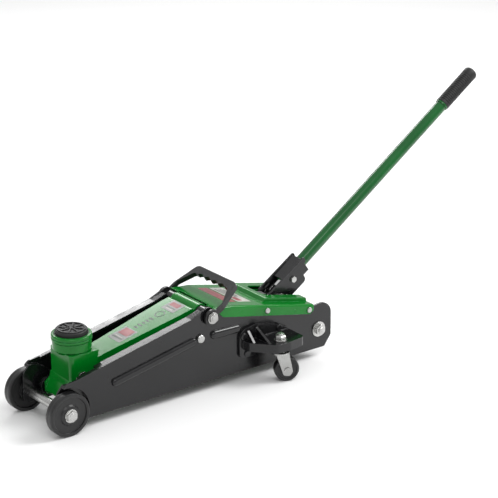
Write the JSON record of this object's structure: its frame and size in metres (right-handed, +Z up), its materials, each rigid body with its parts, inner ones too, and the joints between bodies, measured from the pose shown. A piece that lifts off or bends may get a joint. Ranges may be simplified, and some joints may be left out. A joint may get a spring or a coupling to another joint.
{
  "type": "hydraulic floor jack",
  "caption": "Low hydraulic trolley jack with a turning saddle, parallel-link lift arm, pump handle, front rollers, rear swivel casters and a folding carry handle.",
  "frame": {"origin": "bottom centre of the bounding box of the whole jack with its arm down", "axes": "+X towards the handle end, -X towards the saddle end, +Y towards the side named right, -Y towards the side named left, +Z up"},
  "size_m": [0.8506, 0.2088, 0.3923],
  "materials": {
    "green_paint": "gloss",
    "black_paint": "satin",
    "wheel_paint": "satin",
    "zinc_steel": "zinc plated",
    "bright_steel": "ground",
    "spring_steel": "oiled",
    "cast_iron": "painted",
    "black_rubber": "matte",
    "black_plastic": "matte"
  },
  "bodies": {
    "chassis": {"side_plate_left": "black_paint", "side_plate_right": "black_paint", "front_axle": "zinc_steel", "front_axle_nuts": "zinc_steel", "main_shaft": "zinc_steel", "main_shaft_nuts": "zinc_steel", "shaft_spacers": "black_paint", "link_pivot_bolts": "zinc_steel", "link_pivot_spacers": "black_paint", "cross_brace": "black_paint", "oil_tank": "green_paint", "ram_cylinder": "bright_steel", "tank_nut": "green_paint", "pump_block": "cast_iron", "oil_plug": "zinc_steel", "tail_bolts": "zinc_steel", "tail_washers": "zinc_steel", "pivot_bolts": "zinc_steel", "pump_spring": "spring_steel", "cover": "green_paint", "cover_screws": "zinc_steel", "caster_bracket_left": "black_paint", "caster_bracket_right": "black_paint", "caster_rivets": "black_paint", "kingpin_left": "zinc_steel", "kingpin_right": "zinc_steel", "caster_race_left": "zinc_steel", "caster_race_right": "zinc_steel", "bail_spacers": "black_paint", "return_springs": "spring_steel"},
    "front_wheel_left_body": {"front_wheel_left": "wheel_paint"},
    "front_wheel_right_body": {"front_wheel_right": "wheel_paint"},
    "lift_arm_body": {"lift_arm": "green_paint", "crank_pin": "zinc_steel", "arm_pin": "zinc_steel"},
    "bracket_body": {"saddle_bracket": "green_paint", "link_rivets": "green_paint"},
    "saddle_body": {"saddle_cup": "green_paint", "saddle_pad": "black_rubber"},
    "link_left_body": {"link_left": "black_paint"},
    "link_right_body": {"link_right": "black_paint"},
    "ram_body": {"ram_rod": "bright_steel", "ram_head": "cast_iron"},
    "socket_body": {"handle_socket": "black_paint", "socket_sleeve": "black_paint", "pump_roller": "zinc_steel", "socket_bolts": "zinc_steel"},
    "handle_body": {"handle_tube": "green_paint", "handle_fork": "bright_steel", "handle_grip": "black_rubber"},
    "valve_body": {"release_valve": "bright_steel"},
    "plunger_body": {"pump_plunger": "bright_steel"},
    "carry_body": {"carry_handle": "black_plastic"},
    "caster_left_body": {"caster_fork_left": "zinc_steel", "caster_axle_left": "zinc_steel"},
    "caster_right_body": {"caster_fork_right": "zinc_steel", "caster_axle_right": "zinc_steel"},
    "caster_wheel_left_body": {"caster_wheel_left": "black_plastic"},
    "caster_wheel_right_body": {"caster_wheel_right": "black_plastic"}
  },
  "joints": [
    {"name": "lift", "type": "hinge", "parent": "chassis", "child": "lift_arm_body", "pos_m": [-0.14266, 0, 0.118], "axis": [0, 1, 0], "range_deg": [0, 84], "deforming": ["return_springs"]},
    {"name": "bracket_level", "type": "hinge", "parent": "lift_arm_body", "child": "bracket_body", "pos_m": [-0.34956, 0, 0.0692], "axis": [0, 1, 0], "range_deg": [-84.5, 0.5]},
    {"name": "saddle_turn", "type": "hinge", "parent": "bracket_body", "child": "saddle_body", "pos_m": [-0.34756, 0, 0.117], "axis": [0, 0, 1], "continuous": true},
    {"name": "link_left_swing", "type": "hinge", "parent": "chassis", "child": "link_left_body", "pos_m": [-0.16066, 0, 0.088], "axis": [0, 1, 0], "range_deg": [-0.5, 84.5]},
    {"name": "link_right_swing", "type": "hinge", "parent": "chassis", "child": "link_right_body", "pos_m": [-0.16066, 0, 0.088], "axis": [0, 1, 0], "range_deg": [-0.5, 84.5]},
    {"name": "ram_stroke", "type": "slide", "parent": "chassis", "child": "ram_body", "axis": [-0.9945, 0, 0.1045], "range_m": [-0.0002, 0.05651]},
    {"name": "front_wheel_left_roll", "type": "hinge", "parent": "chassis", "child": "front_wheel_left_body", "pos_m": [-0.39266, 0, 0.0325], "axis": [0, 1, 0], "continuous": true},
    {"name": "front_wheel_right_roll", "type": "hinge", "parent": "chassis", "child": "front_wheel_right_body", "pos_m": [-0.39266, 0, 0.0325], "axis": [0, 1, 0], "continuous": true},
    {"name": "pump_stroke", "type": "hinge", "parent": "chassis", "child": "socket_body", "pos_m": [0.01434, 0, 0.0995], "axis": [0, 1, 0], "range_deg": [-44, 16]},
    {"name": "plunger_stroke", "type": "slide", "parent": "chassis", "child": "plunger_body", "axis": [0, 0, 1], "range_m": [-0.0055, 0.0148], "deforming": ["pump_spring"]},
    {"name": "handle_twist", "type": "hinge", "parent": "socket_body", "child": "handle_body", "pos_m": [0.01434, 0, 0.0995], "axis": [0.8181, 0, 0.575], "range_deg": [0, 180]},
    {"name": "valve_turn", "type": "hinge", "parent": "chassis", "child": "valve_body", "pos_m": [0.01434, 0, 0.0995], "axis": [1, 0, 0], "range_deg": [-0.5, 180.5]},
    {"name": "carry_swing", "type": "hinge", "parent": "chassis", "child": "carry_body", "pos_m": [-0.14266, 0, 0.118], "axis": [0, 1, 0], "range_deg": [-125, 3]},
    {"name": "caster_left_swivel", "type": "hinge", "parent": "chassis", "child": "caster_left_body", "pos_m": [-0.03666, -0.087, 0.047], "axis": [0, 0, 1], "continuous": true},
    {"name": "caster_left_roll", "type": "hinge", "parent": "caster_left_body", "child": "caster_wheel_left_body", "pos_m": [-0.0285, -0.0908, 0.019], "axis": [0.4226, 0.9063, 0], "continuous": true},
    {"name": "caster_right_swivel", "type": "hinge", "parent": "chassis", "child": "caster_right_body", "pos_m": [-0.03666, 0.087, 0.047], "axis": [0, 0, 1], "continuous": true},
    {"name": "caster_right_roll", "type": "hinge", "parent": "caster_right_body", "child": "caster_wheel_right_body", "pos_m": [-0.0285, 0.0908, 0.019], "axis": [-0.4226, 0.9063, 0], "continuous": true}
  ],
  "couplings": [
    {"joint": "bracket_level", "follows": "lift", "ratio": -1},
    {"joint": "link_left_swing", "follows": "lift", "ratio": 1},
    {"joint": "link_right_swing", "follows": "lift", "ratio": 1},
    {"joint": "ram_stroke", "follows": "lift", "m_per_rad": 0.038338},
    {"joint": "plunger_stroke", "follows": "pump_stroke", "m_per_rad": -0.0191},
    {"joint": "valve_turn", "follows": "handle_twist", "ratio": 1}
  ]
}
